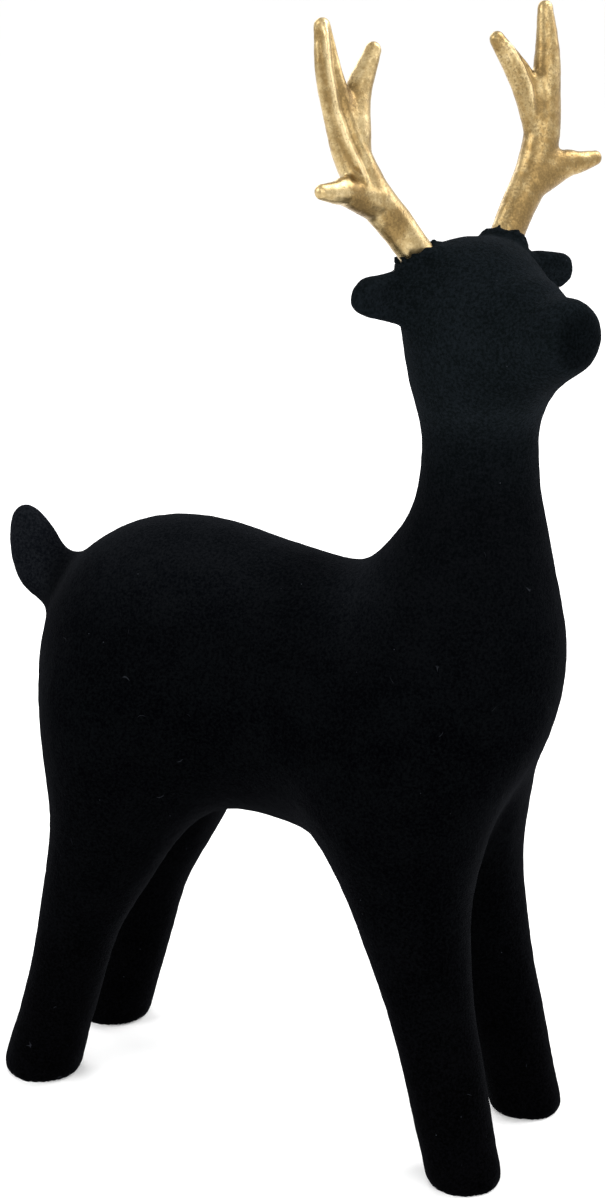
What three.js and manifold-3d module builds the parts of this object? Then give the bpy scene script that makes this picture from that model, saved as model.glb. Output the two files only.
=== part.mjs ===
// Standing reindeer figure in cast polyresin: a flocked body and two gilded antlers set into its crown.
// Millimetres. +X is the way the body faces, +Y its left side, +Z up, and the feet stand on Z = 0.
import * as THREE from "three";
import { mergeVertices } from "three/addons/utils/BufferGeometryUtils.js";
import Module from "manifold-3d";

const wasm = await Module();
wasm.setup();

// Main sizes: floor to crown, tail to nose, and an antler from its seat in the crown to its tip.
const height = 292;
const length = 213;
const antlerHeight = 78.6;

// Stance: how far apart the feet stand across the figure, and how thick they are.
const frontTrack = 53;
const rearTrack = 47;
const frontFootRadius = 11.8;
const rearFootRadius = 13.1;

// The free forms below are shares: x along the body is of the length, and all else of the height.
// Trunk: centre line and half-depths, rump to breast.
const trunkNarrowing = 0.78;
const trunk = [
  { x: -0.2493, z: 0.5051, r: 0.1175 },
  { x: -0.1737, z: 0.5188, r: 0.1551 },
  { x: -0.0376, z: 0.5068, r: 0.1541 },
  { x: 0.1291, z: 0.4959, r: 0.1486 },
  { x: 0.2535, z: 0.5315, r: 0.1291 },
];

// Neck: centre line and radius from the withers up to the throat.
const neck = [
  { x: 0.2873, z: 0.5993, r: 0.0986 },
  { x: 0.3089, z: 0.6815, r: 0.0767 },
  { x: 0.3122, z: 0.7397, r: 0.064 },
  { x: 0.3117, z: 0.8014, r: 0.0596 },
  { x: 0.3052, z: 0.863, r: 0.0634 },
];

// Head: its place on the neck. It turns towards the figure's right and leans a little to its left.
const headPlace = { x: 0.2911, z: 0.9247 };
const headTurn = -28;
const headLean = 1.7;

// The head's own forms, about its middle and facing +X: all shares of the height.
const cranium = { x: 0.0171, half: [0.0856, 0.0736, 0.0753] };
const crown = { half: 0.0308, z: 0.0336, r: 0.0384 };
const jaw = [
  { x: 0.0308, z: -0.0479, r: 0.0634 },
  { x: 0.0839, z: -0.0205, r: 0.0521 },
  { x: 0.1445, z: 0.0003, r: 0.0387 },
];
const noseFlat = 0.1774;
const noseEdge = 5;

// Ears: a blunt flattened lobe on each side, out from the head's middle and up from its centre.
const earFlatness = 0.6;
const ear = [
  { x: -0.0068, y: 0.0548, z: 0.0281, r: 0.0284 },
  { x: -0.0068, y: 0.1182, z: 0.0308, r: 0.0264 },
];

// Tail: a raised paddle behind the rump.
const tailFlatness = 0.75;
const tail = [
  { x: -0.338, z: 0.5736, r: 0.0325 },
  { x: -0.4099, z: 0.5849, r: 0.0356 },
  { x: -0.4455, z: 0.6205, r: 0.0329 },
  { x: -0.4498, z: 0.6459, r: 0.024 },
];

// Legs: centre line and radius from the hip or shoulder down to the fetlock, for the left side.
const rearLeg = [
  { x: -0.2136, y: 0.0548, z: 0.4521, r: 0.1027 },
  { x: -0.2516, y: 0.0702, z: 0.3219, r: 0.0699 },
  { x: -0.3028, y: 0.0788, z: 0.2123, r: 0.0486 },
  { x: -0.338, y: 0.0815, z: 0.1164, r: 0.0432 },
];
const rearFoot = -0.3883;
const frontLeg = [
  { x: 0.23, y: 0.0565, z: 0.4418, r: 0.0986 },
  { x: 0.2615, y: 0.0736, z: 0.3082, r: 0.0647 },
  { x: 0.2991, y: 0.0832, z: 0.1986, r: 0.0473 },
  { x: 0.3272, y: 0.0866, z: 0.1164, r: 0.0432 },
];
const frontFoot = 0.3648;

// Antlers: shares of an antler's own height. Each lies in a plane that leans back from the crown,
// Y out and Z up from its seat there.
const antlerLean = 10;
const antlerFlatness = 0.8;
const beam = [
  { y: 0, z: 0, r: 0.0674 },
  { y: 0.1056, z: 0.1361, r: 0.0687 },
  { y: 0.1756, z: 0.243, r: 0.0712 },
  { y: 0.2697, z: 0.3702, r: 0.0763 },
  { y: 0.3384, z: 0.5115, r: 0.0789 },
  { y: 0.369, z: 0.6641, r: 0.0636 },
  { y: 0.3969, z: 0.8168, r: 0.0496 },
  { y: 0.402, z: 0.9771, r: 0.0331 },
];
const innerTine = [
  { x: 0, y: 0.3346, z: 0.5814, r: 0.0573 },
  { x: -0.0127, y: 0.2723, z: 0.7316, r: 0.0522 },
  { x: -0.0191, y: 0.1794, z: 0.883, r: 0.0331 },
];
const browTine = [
  { x: 0, y: 0.2799, z: 0.3715, r: 0.0636 },
  { x: 0.0318, y: 0.3944, z: 0.388, r: 0.0547 },
  { x: 0.0509, y: 0.4644, z: 0.3817, r: 0.0433 },
  { x: 0.0636, y: 0.5344, z: 0.3969, r: 0.0318 },
];

// Antler roots stand in sockets with this play all round, inside collars of ragged tufts.
const rootDepth = 7;
const socketPlay = 0.3;
const collarThickness = 1.6;
const collarFoot = 2;
const collarDepth = 4;
const collarRise = 0.8;
const collarSlope = 0.3;
const tufts = 9;
const tuftLength = 2;

// Blend radii where the masses run into each other.
const legBlend = 28;
const neckBlend = 26;
const headBlend = 14;
const muzzleBlend = 16;
const earBlend = 6;
const tailBlend = 9;
const tineBlend = 5;

// Facet sizes of the skins, and between which shares of the height the finer head begins.
const bodyFacet = 8;
const headFacet = 4.3;
const antlerFacet = 2.5;
const headFrom = 0.6678;
const headTo = 0.8219;

const degrees = THREE.MathUtils.degToRad;

// Stations in millimetres from their shares, x of the figure's length and the rest of its height.
function inMillimetres(stations, unit = height, along = length) {
  const placed = ({ x = 0, y = 0, z, r }) => ({ x: x * along, y: y * unit, z: z * unit, r: r * unit });
  return stations.map(placed);
}

// Distance from p to a cone with round ends, radius ra at a and rb at b.
function roundCone(px, py, pz, a, b) {
  const bx = b.x - a.x;
  const by = b.y - a.y;
  const bz = b.z - a.z;
  const qx = px - a.x;
  const qy = py - a.y;
  const qz = pz - a.z;
  const l2 = bx * bx + by * by + bz * bz;
  const rr = a.r - b.r;
  const a2 = l2 - rr * rr;
  if (a2 <= 0) {
    const toEnd = Math.hypot(px - b.x, py - b.y, pz - b.z) - b.r;
    return Math.min(Math.hypot(qx, qy, qz) - a.r, toEnd);
  }
  const il2 = 1 / l2;
  const y = qx * bx + qy * by + qz * bz;
  const z = y - l2;
  const wx = qx * l2 - bx * y;
  const wy = qy * l2 - by * y;
  const wz = qz * l2 - bz * y;
  const x2 = wx * wx + wy * wy + wz * wz;
  const y2 = y * y * l2;
  const z2 = z * z * l2;
  const k = Math.sign(rr) * rr * rr * x2;
  if (Math.sign(z) * a2 * z2 > k) return Math.sqrt(x2 + z2) * il2 - b.r;
  if (Math.sign(y) * a2 * y2 < k) return Math.sqrt(x2 + y2) * il2 - a.r;
  return (Math.sqrt(x2 * a2 * il2) + y * rr) * il2 - a.r;
}

// Distance, near enough, from p to an ellipsoid about the origin.
function ellipsoid(px, py, pz, [hx, hy, hz]) {
  const k0 = Math.hypot(px / hx, py / hy, pz / hz);
  const k1 = Math.hypot(px / (hx * hx), py / (hy * hy), pz / (hz * hz));
  return k1 > 0 ? (k0 * (k0 - 1)) / k1 : -Math.min(hx, hy, hz);
}

// Smooth union of two distances, k the reach of the blend.
function blend(a, b, k) {
  const h = Math.max(k - Math.abs(a - b), 0) / k;
  return Math.min(a, b) - h * h * h * k * (1 / 6);
}

// A limb's stations drawn as a smooth curve of centres and radii, cut into short cones.
function smoothLimb(stations, flatness = 1, steps = 6) {
  const centre = (s) => new THREE.Vector3(s.x / flatness, s.y, s.z);
  const centres = new THREE.CatmullRomCurve3(stations.map(centre), false, "catmullrom");
  const radii = new THREE.SplineCurve(stations.map((s) => new THREE.Vector2(s.r, 0)));
  const count = steps * (stations.length - 1);
  return Array.from({ length: count + 1 }, (_, i) => {
    const c = centres.getPoint(i / count);
    return { x: c.x, y: c.y, z: c.z, r: radii.getPoint(i / count).x };
  });
}

// Distance to a limb: the nearest of its cones.
function limbDistance(cones, px, py, pz) {
  let d = Infinity;
  for (let i = 1; i < cones.length; i++)
    d = Math.min(d, roundCone(px, py, pz, cones[i - 1], cones[i]));
  return d;
}

const foot = (share, track, r) => ({ x: share * length, y: track / 2, z: 0, r });
const ofHead = (stations) => inMillimetres(stations, height, height);
const ofAntler = (stations) => inMillimetres(stations, antlerHeight, antlerHeight);
const trunkCones = smoothLimb(inMillimetres(trunk));
const neckCones = smoothLimb(inMillimetres(neck));
const tailCones = smoothLimb(inMillimetres(tail));
const rearCones = smoothLimb([...inMillimetres(rearLeg), foot(rearFoot, rearTrack, rearFootRadius)]);
const frontCones = smoothLimb([...inMillimetres(frontLeg), foot(frontFoot, frontTrack, frontFootRadius)]);
const jawCones = smoothLimb(ofHead(jaw));
const earCones = smoothLimb(ofHead(ear), earFlatness);
const beamCones = smoothLimb(ofAntler(beam), antlerFlatness);
const innerCones = smoothLimb(ofAntler(innerTine), antlerFlatness);
const browCones = smoothLimb(ofAntler(browTine), antlerFlatness);

// The root's axis in the antler's plane, where it leaves the crown, and its flat end in the socket.
const seat = new THREE.Vector3(0, crown.half * height, crown.z * height);
const rootRadius = beam[2].r * antlerHeight;
const rootAxis = new THREE.Vector3(0, beam[1].y, beam[1].z).normalize();
const rootMouth = rootAxis.clone().multiplyScalar(crown.r * height);
const rootEnd = rootMouth.clone().addScaledVector(rootAxis, -rootDepth);
const rootEdge = 1;

const headMiddle = new THREE.Vector3(headPlace.x * length, 0, headPlace.z * height);
const headFrame = new THREE.Matrix4()
  .makeTranslation(headMiddle)
  .multiply(new THREE.Matrix4().makeRotationZ(degrees(headTurn)))
  .multiply(new THREE.Matrix4().makeRotationX(degrees(headLean)));
const intoHead = headFrame.clone().invert();
const headPoint = new THREE.Vector3();

const craniumHalf = cranium.half.map((share) => share * height);
const crownRadius = crown.r * height;

function headDistance(px, py, pz) {
  headPoint.set(px, py, pz).applyMatrix4(intoHead);
  const { x, y, z } = headPoint;
  let d = ellipsoid(x - cranium.x * height, y, z, craniumHalf);
  const side = Math.abs(y);
  const top = Math.hypot(x, Math.max(side - seat.y, 0), z - seat.z) - crownRadius;
  d = blend(d, top, headBlend);
  const muzzle = -blend(-limbDistance(jawCones, x, y, z), noseFlat * height - x, 2 * noseEdge);
  d = blend(d, muzzle, muzzleBlend);
  const lobe = limbDistance(earCones, x / earFlatness, side, z) * earFlatness;
  return blend(d, lobe, earBlend);
}

function bodyDistance(px, py, pz) {
  let d = limbDistance(trunkCones, px, py / trunkNarrowing, pz) * trunkNarrowing;
  d = blend(d, limbDistance(neckCones, px, py, pz), neckBlend);
  d = blend(d, limbDistance(tailCones, px, py / tailFlatness, pz) * tailFlatness, tailBlend);
  const side = Math.abs(py);
  const legs = Math.min(limbDistance(rearCones, px, side, pz), limbDistance(frontCones, px, side, pz));
  d = blend(d, legs, legBlend);
  if (pz > headFrom * height) d = blend(d, headDistance(px, py, pz), headBlend);
  return d;
}

// One antler in its own leaning plane.
function antlerDistance(px, py, pz) {
  const x = px / antlerFlatness;
  let d = limbDistance(beamCones, x, py, pz);
  d = blend(d, limbDistance(innerCones, x, py, pz), tineBlend);
  d = blend(d, limbDistance(browCones, x, py, pz), tineBlend);
  const aboveRoot = rootAxis.y * (py - rootEnd.y) + rootAxis.z * (pz - rootEnd.z);
  return -blend(-d * antlerFlatness, aboveRoot, rootEdge);
}

// Grid lines from lo to hi, each step as long as the size function says there.
function gridLines(lo, hi, stepAt) {
  const lines = [lo];
  while (lines.at(-1) < hi) lines.push(lines.at(-1) + stepAt(lines.at(-1)));
  return lines;
}

// A cell's corners and edges. Edge 3 * corner + axis starts at that corner and runs along that axis.
const corners = [0, 1, 2, 3, 4, 5, 6, 7].map((c) => [c & 1, (c >> 1) & 1, (c >> 2) & 1]);
const edges = corners.flatMap((from, c) =>
  from.flatMap((v, axis) => (v === 0 ? [{ name: 3 * c + axis, from: c, to: c + (1 << axis) }] : [])),
);
const onFace = (axis, side) => (e) => corners[e.from][axis] === side && corners[e.to][axis] === side;
const faces = [0, 1, 2].flatMap((axis) => [0, 1].map((side) => edges.filter(onFace(axis, side))));

// The skin's edges across a cell, in one list for each separate sheet of skin.
function sheets(depth) {
  const cut = (e) => depth[e.from] < 0 !== depth[e.to] < 0;
  let lists = edges.filter(cut).map((e) => [e]);
  const join = (a, b) => {
    const [one, other] = [a, b].map((e) => lists.find((list) => list.includes(e)));
    const apart = lists.filter((list) => list !== one && list !== other);
    if (one !== other) lists = [...apart, [...one, ...other]];
  };
  for (const face of faces) {
    const crossed = face.filter(cut);
    if (crossed.length === 2) join(...crossed);
    if (crossed.length !== 4) continue;
    for (let c = 0; c < 8; c++) {
      const here = crossed.filter((e) => depth[c] < 0 && (e.from === c || e.to === c));
      if (here.length === 2) join(...here);
    }
  }
  return lists;
}

// The skin of a distance function over a grid: a point for each sheet in each cell, joined across edges.
function skin(distance, xs, ys, zs, warp = (x, y, z) => [x, y, z]) {
  const [nx, ny, nz] = [xs.length, ys.length, zs.length];
  const at = (i, j, k) => i + nx * (j + ny * k);
  const place = [];
  for (const z of zs) for (const y of ys) for (const x of xs) place.push(warp(x, y, z));
  const value = place.map((p) => distance(...p));

  const pointOf = new Map();
  const points = [];
  for (let k = 0; k < nz - 1; k++)
    for (let j = 0; j < ny - 1; j++)
      for (let i = 0; i < nx - 1; i++) {
        const around = corners.map(([a, b, c]) => at(i + a, j + b, k + c));
        const depth = around.map((n) => value[n]);
        if (depth.every((d) => d < 0) || depth.every((d) => d >= 0)) continue;
        for (const sheet of sheets(depth)) {
          const sum = [0, 0, 0];
          for (const { from, to } of sheet) {
            const t = depth[from] / (depth[from] - depth[to]);
            const [p, q] = [place[around[from]], place[around[to]]];
            for (let axis = 0; axis < 3; axis++) sum[axis] += p[axis] + t * (q[axis] - p[axis]);
          }
          for (const edge of sheet) pointOf.set(24 * around[0] + edge.name, points.length);
          points.push(sum.map((s) => s / sheet.length));
        }
      }

  const quads = [];
  for (let k = 1; k < nz - 1; k++)
    for (let j = 1; j < ny - 1; j++)
      for (let i = 1; i < nx - 1; i++) {
        const inside = value[at(i, j, k)] < 0;
        const edgeName = (axis, a, b, c) => 24 * at(i - a, j - b, k - c) + 3 * (a + 2 * b + 4 * c) + axis;
        const p = (axis, a, b, c) => pointOf.get(edgeName(axis, a, b, c));
        const across = [
          [at(i + 1, j, k), [p(0, 0, 1, 1), p(0, 0, 0, 1), p(0, 0, 0, 0), p(0, 0, 1, 0)]],
          [at(i, j + 1, k), [p(1, 1, 0, 1), p(1, 1, 0, 0), p(1, 0, 0, 0), p(1, 0, 0, 1)]],
          [at(i, j, k + 1), [p(2, 1, 1, 0), p(2, 0, 1, 0), p(2, 0, 0, 0), p(2, 1, 0, 0)]],
        ];
        for (const [beyond, quad] of across)
          if (inside !== value[beyond] < 0) quads.push(inside ? quad : quad.reverse());
      }
  return { points, quads };
}

// Moves a point along the steepest slope until the distance there is nil.
function settle(distance, point, rounds = 3) {
  const e = 0.05;
  for (let n = 0; n < rounds; n++) {
    const [x, y, z] = point;
    const d = distance(x, y, z);
    const slope = [
      (distance(x + e, y, z) - distance(x - e, y, z)) / (2 * e),
      (distance(x, y + e, z) - distance(x, y - e, z)) / (2 * e),
      (distance(x, y, z + e) - distance(x, y, z - e)) / (2 * e),
    ];
    const steep = slope.reduce((s, v) => s + v * v, 0);
    if (steep < 1e-6) return;
    for (let axis = 0; axis < 3; axis++) point[axis] -= (d * slope[axis]) / Math.max(steep, 0.25);
  }
}

// Evens out the skin's points, which stay on the skin. Held ones don't move.
function relax(distance, { points, quads }, rounds, held = new Set()) {
  const near = points.map(() => new Set());
  for (const quad of quads)
    quad.forEach((p, n) => near[p].add(quad[(n + 1) % 4]).add(quad[(n + 3) % 4]));
  for (let round = 0; round < rounds; round++) {
    const moved = points.map((point, n) => {
      const sum = [0, 0, 0];
      for (const m of near[n]) for (let axis = 0; axis < 3; axis++) sum[axis] += points[m][axis];
      return sum.map((s, axis) => 0.5 * point[axis] + (0.5 * s) / near[n].size);
    });
    moved.forEach((point, n) => {
      if (held.has(n)) return;
      settle(distance, point);
      points[n] = point;
    });
  }
}

// Triangles of a skin, each quad cut along its shorter diagonal.
function surface({ points, quads }) {
  const gap = (a, b) => Math.hypot(...points[a].map((v, axis) => v - points[b][axis]));
  const cut = ([a, b, c, d]) => (gap(a, c) < gap(b, d) ? [a, b, c, a, c, d] : [a, b, d, b, c, d]);
  const geometry = new THREE.BufferGeometry();
  geometry.setAttribute("position", new THREE.Float32BufferAttribute(points.flat(), 3));
  geometry.setIndex(quads.flatMap(cut));
  return geometry;
}

// How far the body's grid is drawn in about the neck, from the shoulders up to the head.
function drawnIn(z) {
  const inHead = THREE.MathUtils.smoothstep(z / height, headFrom, headTo);
  return 1 - (1 - headFacet / bodyFacet) * inHead;
}

// The body's skin, its feet carried on in round ends below the ground.
function bodyGeometry() {
  const nose = jawCones.at(-1);
  const tailEnd = Math.min(...tailCones.map((s) => s.x - s.r));
  const headTop = headMiddle.z + seat.z + crownRadius + headBlend;
  const headReach = ((nose.x + nose.r + 2 * headFacet) * bodyFacet) / headFacet;
  const xs = gridLines(tailEnd - 2 * bodyFacet, headMiddle.x + headReach, () => bodyFacet);
  const ys = gridLines(-headReach, headReach, () => bodyFacet);
  const soles = -rearFootRadius - 1.5 * bodyFacet;
  const zs = gridLines(soles, headTop + 2 * headFacet, (z) => bodyFacet * drawnIn(z));
  const warp = (x, y, z) => [headMiddle.x + (x - headMiddle.x) * drawnIn(z), y * drawnIn(z), z];
  const made = skin(bodyDistance, xs, ys, zs, warp);
  relax(bodyDistance, made, 6, new Set([drawOut(made, tailCones)]));
  return surface(made);
}

// Draws the skin's nearest point out to the very end of a limb, which the facets would cut short.
// It gives that point's number.
function drawOut({ points }, cones, flatness = 1) {
  const [before, end] = cones.slice(-2);
  const tip = new THREE.Vector3(end.x - before.x, end.y - before.y, end.z - before.z);
  tip.setLength(end.r).add(end);
  tip.x *= flatness;
  const gap = (p) => Math.hypot(p[0] - tip.x, p[1] - tip.y, p[2] - tip.z);
  const nearest = points.reduce((best, p, n) => (gap(p) < gap(points[best]) ? n : best), 0);
  points[nearest] = tip.toArray();
  return nearest;
}

function antlerGeometry() {
  const margin = 3 * antlerFacet;
  const cones = [...beamCones, ...innerCones, ...browCones];
  const low = (axis) => Math.min(...cones.map((s) => s[axis] - s.r)) - margin;
  const high = (axis) => Math.max(...cones.map((s) => s[axis] + s.r)) + margin;
  const [xs, ys, zs] = ["x", "y", "z"].map((axis) => gridLines(low(axis), high(axis), () => antlerFacet));
  const made = skin(antlerDistance, xs, ys, zs);
  const tips = [beamCones, innerCones, browCones].map((cones) => drawOut(made, cones, antlerFlatness));
  relax(antlerDistance, made, 6, new Set(tips));
  return surface(made).translate(...seat);
}

const antlerFrame = headFrame.clone().multiply(new THREE.Matrix4().makeRotationY(degrees(-antlerLean)));

// A closed geometry as a solid that can be joined and cut, and back.
function solid(geometry) {
  const bare = new THREE.BufferGeometry().setAttribute("position", geometry.getAttribute("position"));
  const merged = mergeVertices(bare.setIndex(geometry.index), 1e-4);
  return new wasm.Manifold(
    new wasm.Mesh({
      numProp: 3,
      vertProperties: new Float32Array(merged.attributes.position.array),
      triVerts: new Uint32Array(merged.index.array),
    }),
  );
}

function geometryOf(made) {
  const mesh = made.getMesh();
  const geometry = new THREE.BufferGeometry();
  geometry.setAttribute("position", new THREE.BufferAttribute(mesh.vertProperties, 3));
  return geometry.setIndex(new THREE.BufferAttribute(mesh.triVerts, 1));
}

// Places what was made about the Z axis onto the left antler's root, with Z = 0 at the socket's mouth.
function ontoRoot(geometry) {
  const tilt = new THREE.Quaternion().setFromUnitVectors(new THREE.Vector3(0, 0, 1), rootAxis);
  const mouth = rootMouth.clone().add(seat);
  return geometry.scale(antlerFlatness, 1, 1).applyQuaternion(tilt).translate(...mouth);
}

// A tapered round piece that stands on the root's axis from one height to another over the mouth.
function rootRound(radiusLow, radiusHigh, from, to, sides) {
  const round = new THREE.CylinderGeometry(radiusHigh, radiusLow, to - from, sides);
  return round.rotateX(Math.PI / 2).translate(0, 0, (from + to) / 2);
}

// The ragged collar round one root: a low ring that stands higher on its outer side, its rim drawn up
// into tufts of uneven length.
function collarRing() {
  const outer = rootRadius + socketPlay + collarThickness;
  const ring = rootRound(outer + collarFoot, outer, -collarDepth, collarRise, 2 * tufts);
  const place = ring.getAttribute("position");
  for (let n = 0; n < place.count; n++) {
    const [x, y, z] = [place.getX(n), place.getY(n), place.getZ(n)];
    if (z < 0) continue;
    const step = Math.round((Math.atan2(x, -y) * tufts) / Math.PI) + 2 * tufts;
    const isTuft = step % 2 === 0 && Math.hypot(x, y) > 0.9 * outer;
    const tuft = isTuft ? tuftLength * (0.75 + 0.5 * Math.sin(1.3 * (step % (2 * tufts)) ** 2)) : 0;
    place.setZ(n, z + collarSlope * y + tuft);
  }
  return ontoRoot(ring);
}

// A copy turned over to the head's other side.
function mirroredCopy(geometry) {
  const copy = geometry.clone().scale(1, -1, 1);
  return copy.setIndex(Array.from(copy.index.array).reverse());
}

// The body's casting, cut off flat where the feet stand, with a collar and an open socket for each antler.
function castBody() {
  const grip = rootRadius + socketPlay;
  const sides = 20;
  const outside = 1 / Math.cos(Math.PI / sides);
  const bore = grip * outside;
  const socket = ontoRoot(rootRound(bore, bore, -rootDepth - socketPlay, 4 * tuftLength, sides));
  let made = solid(bodyGeometry()).trimByPlane([0, 0, 1], 0);
  for (const turn of [(geometry) => geometry.clone(), mirroredCopy]) {
    made = made.add(solid(turn(collarRing()).applyMatrix4(antlerFrame)));
    made = made.subtract(solid(turn(socket).applyMatrix4(antlerFrame)));
  }
  return geometryOf(made);
}

const figure = new THREE.Group();
const flock = { color: 0x08090b, roughness: 1, metalness: 0 };
const gilt = { color: 0xb08a3c, roughness: 0.45, metalness: 0.8 };
const oneAntler = antlerGeometry();
const pieces = [
  ["body", castBody(), flock],
  ["antler_left", oneAntler.clone().applyMatrix4(antlerFrame), gilt],
  ["antler_right", mirroredCopy(oneAntler).applyMatrix4(antlerFrame), gilt],
];
for (const [name, geometry, finish] of pieces) {
  const mesh = new THREE.Mesh(geometry, new THREE.MeshStandardMaterial(finish));
  mesh.name = name;
  figure.add(mesh);
}

// The frame's origin is under the middle of the figure's bounding box.
const middle = new THREE.Box3().setFromObject(figure).getCenter(new THREE.Vector3());
for (const mesh of figure.children) mesh.geometry.translate(-middle.x, -middle.y, 0);

export default figure;
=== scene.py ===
"""A flocked polyresin reindeer figure with gold-leafed antlers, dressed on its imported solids."""

import logging
import math
from dataclasses import dataclass, field
from enum import Enum
from typing import Any

import bpy
import numpy as np
from mathutils import Matrix, Vector, noise

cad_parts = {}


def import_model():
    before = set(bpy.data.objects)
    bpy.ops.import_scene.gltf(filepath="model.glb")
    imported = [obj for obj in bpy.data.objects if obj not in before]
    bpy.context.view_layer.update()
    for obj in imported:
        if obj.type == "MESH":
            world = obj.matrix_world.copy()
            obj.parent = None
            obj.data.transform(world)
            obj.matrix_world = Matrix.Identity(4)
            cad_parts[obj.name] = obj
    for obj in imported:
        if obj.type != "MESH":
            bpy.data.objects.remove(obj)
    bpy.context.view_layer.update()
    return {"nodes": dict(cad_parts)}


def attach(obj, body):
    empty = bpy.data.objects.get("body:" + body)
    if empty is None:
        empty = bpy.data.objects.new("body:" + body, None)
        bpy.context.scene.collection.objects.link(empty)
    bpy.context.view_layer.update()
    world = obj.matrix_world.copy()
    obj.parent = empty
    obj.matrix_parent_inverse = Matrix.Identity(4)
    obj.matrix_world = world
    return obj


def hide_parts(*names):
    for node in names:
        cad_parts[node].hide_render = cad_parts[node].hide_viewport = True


log = logging.getLogger("reindeer")

MM = 0.001
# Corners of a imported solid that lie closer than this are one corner.
MERGE_MM = 0.005
# Two triangles are paired into one face where they are flatter and squarer than this, in degrees.
PAIR_DEGREES = 50
# A face whose middle lies lower than this is the sole of a foot.
SOLE_MM = 0.01


class Side(Enum):
    """The figure's own left and right."""

    LEFT = 1
    RIGHT = -1


def linear(colour: str) -> tuple[float, float, float, float]:
    """Turns an sRGB hex value to Blender's linear colour.

    Args:
        colour: Six hex digits, such as "c49b50".

    Returns:
        Red, green, blue and an alpha of one.
    """
    channels = [int(colour[i : i + 2], 16) / 255 for i in (0, 2, 4)]
    r, g, b = (c / 12.92 if c <= 0.04045 else ((c + 0.055) / 1.055) ** 2.4 for c in channels)
    return (r, g, b, 1.0)


def select_only(piece: bpy.types.Object) -> None:
    """Makes one piece the only selected object and the active one.

    Args:
        piece: The object.
    """
    bpy.ops.object.select_all(action="DESELECT")
    piece.select_set(True)
    bpy.context.view_layer.objects.active = piece


def apply_modifier(piece: bpy.types.Object, kind: str, **settings: Any) -> None:
    """Adds a modifier to a piece, sets it and applies it.

    Args:
        piece: The mesh object.
        kind: Blender's name for the modifier type.
        settings: Values for the modifier's properties.
    """
    select_only(piece)
    modifier = piece.modifiers.new(kind.title(), kind)
    for name, value in settings.items():
        setattr(modifier, name, value)
    bpy.ops.object.modifier_apply(modifier=modifier.name)


def points_of(mesh: bpy.types.Mesh) -> np.ndarray:
    """Reads the vertices of a mesh.

    Args:
        mesh: The mesh.

    Returns:
        Rows of x, y and z in metres.
    """
    flat = np.empty(len(mesh.vertices) * 3, np.float32)
    mesh.vertices.foreach_get("co", flat)
    return flat.reshape(-1, 3).astype(float)


def normals_of(mesh: bpy.types.Mesh) -> np.ndarray:
    """Reads the vertex normals of a mesh.

    Args:
        mesh: The mesh.

    Returns:
        Rows of x, y and z.
    """
    flat = np.empty(len(mesh.vertices) * 3, np.float32)
    mesh.vertex_normals.foreach_get("vector", flat)
    return flat.reshape(-1, 3).astype(float)


def move_points(mesh: bpy.types.Mesh, points: np.ndarray) -> None:
    """Writes new places for the vertices of a mesh."""
    mesh.vertices.foreach_set("co", points.astype(np.float32).ravel())
    mesh.update()


def smooth_step(value: np.ndarray, low: float, high: float) -> np.ndarray:
    """Rises smoothly from 0 at low to 1 at high."""
    t = np.clip((value - low) / (high - low), 0, 1)
    return t * t * (3 - 2 * t)


def ripple(points: np.ndarray, grain: float, seed: float, octaves: int = 2) -> np.ndarray:
    """Smooth noise at each point.

    Args:
        points: Places in metres.
        grain: The size of the noise's bumps in metres.
        seed: Moves the pattern, so that two pieces don't match.
        octaves: How many finer layers the noise has.

    Returns:
        One number a point, from about -1 to 1.
    """
    shift = Vector((seed, 1.7 * seed, -0.6 * seed))
    return np.array([noise.fractal(Vector(p) / grain + shift, 1.0, 2.0, octaves) for p in points])


def diffuse(mesh: bpy.types.Mesh, values: np.ndarray, rounds: int) -> np.ndarray:
    """Evens out values over a mesh, each round halfway to the mean of a vertex's neighbours.

    Args:
        mesh: The mesh whose edges join the vertices.
        values: A row for each vertex.
        rounds: How often.

    Returns:
        The evened rows.
    """
    ends = np.empty(len(mesh.edges) * 2, np.int32)
    mesh.edges.foreach_get("vertices", ends)
    a, b = ends.reshape(-1, 2).T
    count = len(mesh.vertices)
    share = 0.5 / np.maximum(np.bincount(ends, minlength=count), 1)
    for _ in range(rounds):
        sums = [
            np.bincount(a, column[b], minlength=count) + np.bincount(b, column[a], minlength=count)
            for column in values.T
        ]
        values = 0.5 * values + share[:, None] * np.stack(sums, axis=1)
    return values


def even_out(piece: bpy.types.Object, rounds: int, weight: np.ndarray | float = 1.0) -> None:
    """Takes the uneven swell of the facets out of a skin, but not its form.

    Diffusion alone draws a form in. What it took away is evened out too and given back.

    Args:
        piece: The mesh object.
        rounds: How far the evening reaches, as rounds of diffusion.
        weight: How much of it a vertex takes, from 0 to 1.
    """
    mesh = piece.data
    points = points_of(mesh)
    even = diffuse(mesh, points, rounds)
    for _ in range(2):
        even = even + diffuse(mesh, points - even, rounds)
    share = np.broadcast_to(np.asarray(weight, float), len(points))[:, None]
    move_points(mesh, points + (even - points) * share)


def crease_round(piece: bpy.types.Object, faces: list[bool]) -> None:
    """Keeps the outline of some flat faces crisp when the piece is subdivided.

    Args:
        piece: The mesh object.
        faces: Whether each face is one of them.
    """
    mesh = piece.data
    select_only(piece)
    mesh.vertices.foreach_set("select", [False] * len(mesh.vertices))
    mesh.edges.foreach_set("select", [False] * len(mesh.edges))
    mesh.polygons.foreach_set("select", faces)
    bpy.ops.object.mode_set(mode="EDIT")
    bpy.ops.mesh.select_mode(type="FACE")
    bpy.ops.mesh.region_to_loop()
    bpy.ops.transform.edge_crease(value=1.0)
    bpy.ops.object.mode_set(mode="OBJECT")


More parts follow.
